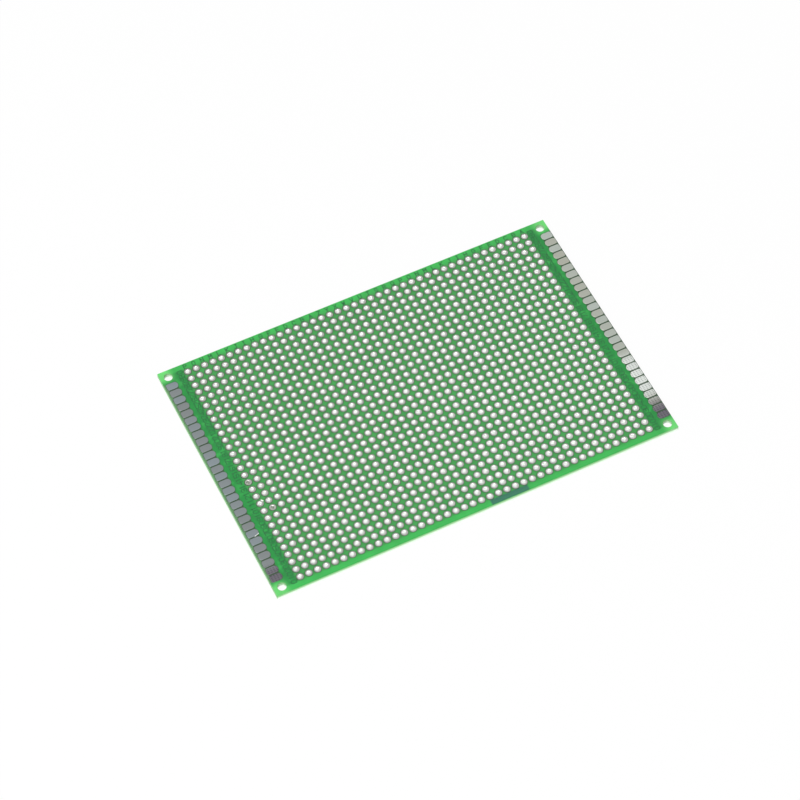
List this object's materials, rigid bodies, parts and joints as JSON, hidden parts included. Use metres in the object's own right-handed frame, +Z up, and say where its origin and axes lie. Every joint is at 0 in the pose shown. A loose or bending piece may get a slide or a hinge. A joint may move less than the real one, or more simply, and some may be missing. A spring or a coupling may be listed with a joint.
{
  "type": "prototyping circuit board",
  "caption": "Bare double-sided perforated circuit board with a full grid of plated lead holes, tinned pads, edge contacts at both short ends and corner mounting holes.",
  "frame": {"origin": "centre of the board's outline, on its underside", "axes": "+X along the board's long side towards the end whose contacts reach nearest the edge, +Y across it from row 01 to row 30, +Z up through the thickness"},
  "size_m": [0.1194, 0.0794, 0.0016],
  "materials": {
    "laminate": "glass-epoxy laminate, matt cut edge",
    "solder_mask": "green solder mask, semi-gloss",
    "tinned_copper": "hot-tinned copper, bright satin",
    "solder": "dull tin-lead solder"
  },
  "bodies": {
    "root": {"laminate": "laminate", "mask_top": "solder_mask", "mask_bottom": "solder_mask", "hole_plating_01": "tinned_copper", "hole_plating_02": "tinned_copper", "hole_plating_03": "tinned_copper", "hole_plating_04": "tinned_copper", "hole_plating_05": "tinned_copper", "hole_plating_06": "tinned_copper", "hole_plating_07": "tinned_copper", "hole_plating_08": "tinned_copper", "hole_plating_09": "tinned_copper", "hole_plating_10": "tinned_copper", "hole_plating_11": "tinned_copper", "hole_plating_12": "tinned_copper", "hole_plating_13": "tinned_copper", "hole_plating_14": "tinned_copper", "hole_plating_15": "tinned_copper", "hole_plating_16": "tinned_copper", "hole_plating_17": "tinned_copper", "hole_plating_18": "tinned_copper", "hole_plating_19": "tinned_copper", "hole_plating_20": "tinned_copper", "hole_plating_21": "tinned_copper", "hole_plating_22": "tinned_copper", "hole_plating_23": "tinned_copper", "hole_plating_24": "tinned_copper", "hole_plating_25": "tinned_copper", "hole_plating_26": "tinned_copper", "hole_plating_27": "tinned_copper", "hole_plating_28": "tinned_copper", "hole_plating_29": "tinned_copper", "hole_plating_30": "tinned_copper", "contacts_left_top": "tinned_copper", "contacts_right_top": "tinned_copper", "contacts_left_bottom": "tinned_copper", "contacts_right_bottom": "tinned_copper", "solder_plugs": "solder"}
  },
  "joints": []
}
